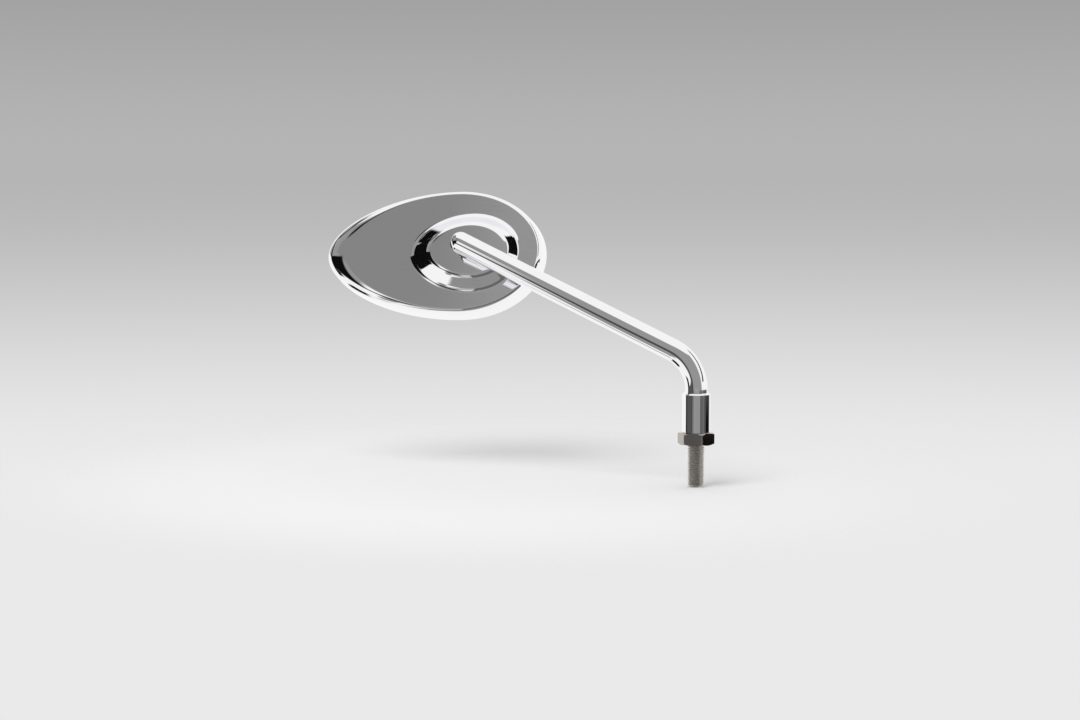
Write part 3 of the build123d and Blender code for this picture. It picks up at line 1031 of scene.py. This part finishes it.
ROOM_PANELS = (
    # grey wall ahead, paler on its left, with a darker part, a white pane and a dark bar
    RoomPanel(0.42, -135, -98, 0.15, 0.7),
    RoomPanel(0.32, -98, 54, -0.09, 0.755),
    RoomPanel(0.255, -66, -28.5, 0.43, 0.6),
    RoomPanel(1.0, -48, -41, -0.05, 0.3, lean=28.6),
    RoomPanel(0.02, -57, -38, 0.605, 0.7),
    # its foot: dark on the left, light ahead, dark on the right
    RoomPanel(0.075, -48, -32, -0.34, -0.01),
    RoomPanel(0.2, -32, -20, -0.2, -0.085),
    RoomPanel(0.3, -20, 26, -0.2, -0.085),
    RoomPanel(0.13, 26, 62, -0.2, -0.085),
    RoomPanel(0.085, 62, 130, -0.155, -0.085),
    RoomPanel(0.0, 82, 112, -0.3, -0.1),
    # floor: grey on the left, pale, dark ahead, grey below, with a grey joint and a dark one
    RoomPanel(0.3, -31, -20, -0.66, -0.34, lean=60),
    RoomPanel(0.5, -47, -24, -0.9, -0.34),
    RoomPanel(0.14, -24, 62, -0.8, -0.2),
    RoomPanel(0.29, -77, 62, -1.1, -0.77),
    RoomPanel(0.35, -101, -86, -0.8, -0.725),
    RoomPanel(0.01, -131, -91, -0.7, -0.545),
    # dark openings on the left and right
    RoomPanel(0.004, -97, -47.5, 0.1, 0.68, climb=0.0048),
    RoomPanel(0.004, -100, -85, -0.15, 0.47, lean=-33),
    RoomPanel(0.004, -58, -42, 0.43, 0.6, lean=-133),
    RoomPanel(0.004, -163, -152, 0.57, 0.8, lean=81),
    RoomPanel(0.004, -128, -104, 0.7, 0.775),
    RoomPanel(0.004, 63, 80, 0.12, 0.77, lean=50),
    # pale floor before the left one, and its sill
    RoomPanel(1.0, -76, -48, -0.27, -0.15),
    RoomPanel(0.09, -84, -47, -0.15, -0.085),
)

ROOM_SUBDIVISIONS = 4
# how soft the panels' edges are, in degrees and in height
SIDE_SOFT, LEVEL_SOFT = 2.0, 0.015


def build_room():
    """A round room seen only in reflections, white where it has no panels."""
    shape = bmesh.new()
    radius = scene_group("mirror_studio").room_radius
    bmesh.ops.create_icosphere(shape, subdivisions=ROOM_SUBDIVISIONS, radius=radius)
    mesh = new_mesh("studio_room", shape)
    room = new_object("studio_room", mesh)
    room.visible_camera = False
    room.visible_diffuse = False
    room.visible_shadow = False
    material, shader = new_material("studio_room")
    towards = shader.node("ShaderNodeVectorMath", {"operation": "NORMALIZE"}, {0: shader.place()})
    across, along, height = shader.axes(towards)
    turn = across.math("ARCTAN2", across, -1 * along) * math.degrees(1)
    colour = shade((1, 1, 1))
    for panel in ROOM_PANELS:
        sides = shader.band(turn - panel.lean * height, panel.left, panel.right, SIDE_SOFT)
        levels = shader.band(height - panel.climb * turn, panel.low, panel.high, LEVEL_SOFT)
        colour = shader.mix(sides * levels, colour, shade((panel.tone,) * 3))
    glow = shader.node("ShaderNodeEmission", sockets={"Color": colour})
    shader.node("ShaderNodeOutputMaterial", sockets={"Surface": glow})
    material.cycles.emission_sampling = "NONE"
    mesh.materials.append(material)


FLOOR_SEGMENTS = 96
# the floor's fade begins and ends at these shares of its radius
FADE_START, FADE_END = 0.45, 0.98


def build_floor():
    """Pale floor under the stud's end, fading into the backdrop."""
    studio = scene_group("mirror_studio")
    low = CAD_BOX[0][2]
    middle = (CAD_BOX[0] + CAD_BOX[1]) / 2
    radius = studio.floor_radius
    shape = bmesh.new()
    place = Matrix.Translation((middle.x, middle.y, low))
    bmesh.ops.create_circle(shape, cap_ends=True, segments=FLOOR_SEGMENTS, radius=radius, matrix=place)
    mesh = new_mesh("studio_floor", shape)
    floor = new_object("studio_floor", mesh)
    floor.visible_glossy = False
    material, shader = new_material("studio_floor")
    spot = shader.turned(shader.place(), place=(-middle.x, -middle.y, -low))
    out = shader.node("ShaderNodeVectorMath", {"operation": "LENGTH"}, {0: spot}, output="Value")
    cover = shader.step(out, FADE_START * radius, FADE_END * radius, 1.0, 0.0)
    matt = shader.node("ShaderNodeBsdfDiffuse", sockets={"Color": shade(studio.floor_colour)})
    clear = shader.node("ShaderNodeBsdfTransparent")
    surface = shader.node("ShaderNodeMixShader", sockets={0: cover, 1: clear, 2: matt})
    shader.node("ShaderNodeOutputMaterial", sockets={"Surface": surface})
    mesh.materials.append(material)


def aimed(obj, place):
    """Stands a lamp or camera at a place, aimed at the middle of the picture."""
    place = Vector(place)
    obj.location = place
    aim = Vector(scene_group("mirror_studio").aim)
    obj.rotation_euler = (aim - place).to_track_quat("-Z", "Y").to_euler()


def build_lamp():
    """One large soft lamp above and to the front."""
    studio = scene_group("mirror_studio")
    light = bpy.data.lights.new("soft_lamp", "AREA")
    light.shape = "DISK"
    light.size = studio.lamp_size
    light.energy = studio.lamp_power
    lamp = new_object("soft_lamp", light)
    aimed(lamp, studio.lamp_place)
    lamp.visible_camera = False
    lamp.visible_glossy = False


def build_camera():
    """A camera at the photograph's angle."""
    studio = scene_group("mirror_studio")
    lens = bpy.data.cameras.new("camera")
    lens.lens = studio.lens
    lens.sensor_width = studio.sensor
    lens.clip_start = studio.near
    camera = new_object("camera", lens)
    aimed(camera, studio.camera_place)
    bpy.context.scene.camera = camera


class MIRROR_OT_stage(bpy.types.Operator):
    """Make the camera, light, backdrop and floor"""

    bl_idname = "mirror.stage"
    bl_label = "Studio"

    def execute(self, context):
        context.scene.view_settings.view_transform = "Standard"
        build_camera()
        build_world()
        build_room()
        build_floor()
        build_lamp()
        return {"FINISHED"}


OPERATORS = (
    MIRROR_OT_stage, MIRROR_OT_shell, MIRROR_OT_stem, MIRROR_OT_foot, MIRROR_OT_nut,
    MIRROR_OT_inner, MIRROR_OT_pad, MIRROR_OT_glass,
)


class MIRROR_PT_panel(bpy.types.Panel):
    """Lists the mirror's operators"""

    bl_idname = "MIRROR_PT_panel"
    bl_label = "Motorcycle mirror"
    bl_space_type = "VIEW_3D"
    bl_region_type = "UI"
    bl_category = "Mirror"

    def draw(self, context):
        for operator in OPERATORS:
            self.layout.operator(operator.bl_idname)


GROUPS = {
    "mirror_colours": FinishColours,
    "mirror_shell": ShellSizes,
    "mirror_pad": PadSizes,
    "mirror_stem": StemSizes,
    "mirror_studio": StudioSettings,
}


def register():
    for kind in (*GROUPS.values(), *OPERATORS, MIRROR_PT_panel):
        bpy.utils.register_class(kind)
    for name, group in GROUPS.items():
        setattr(bpy.types.Scene, name, PointerProperty(type=group))


def unregister():
    for name in GROUPS:
        delattr(bpy.types.Scene, name)
    for kind in (MIRROR_PT_panel, *reversed(OPERATORS), *GROUPS.values()):
        bpy.utils.unregister_class(kind)


def main():
    register()
    bpy.ops.mirror.stage()
    bpy.ops.mirror.shell()
    bpy.ops.mirror.stem()
    bpy.ops.mirror.foot()
    bpy.ops.mirror.nut()
    bpy.ops.mirror.inner()
    bpy.ops.mirror.pad()
    bpy.ops.mirror.glass()


if __name__ == "__main__":
    main()
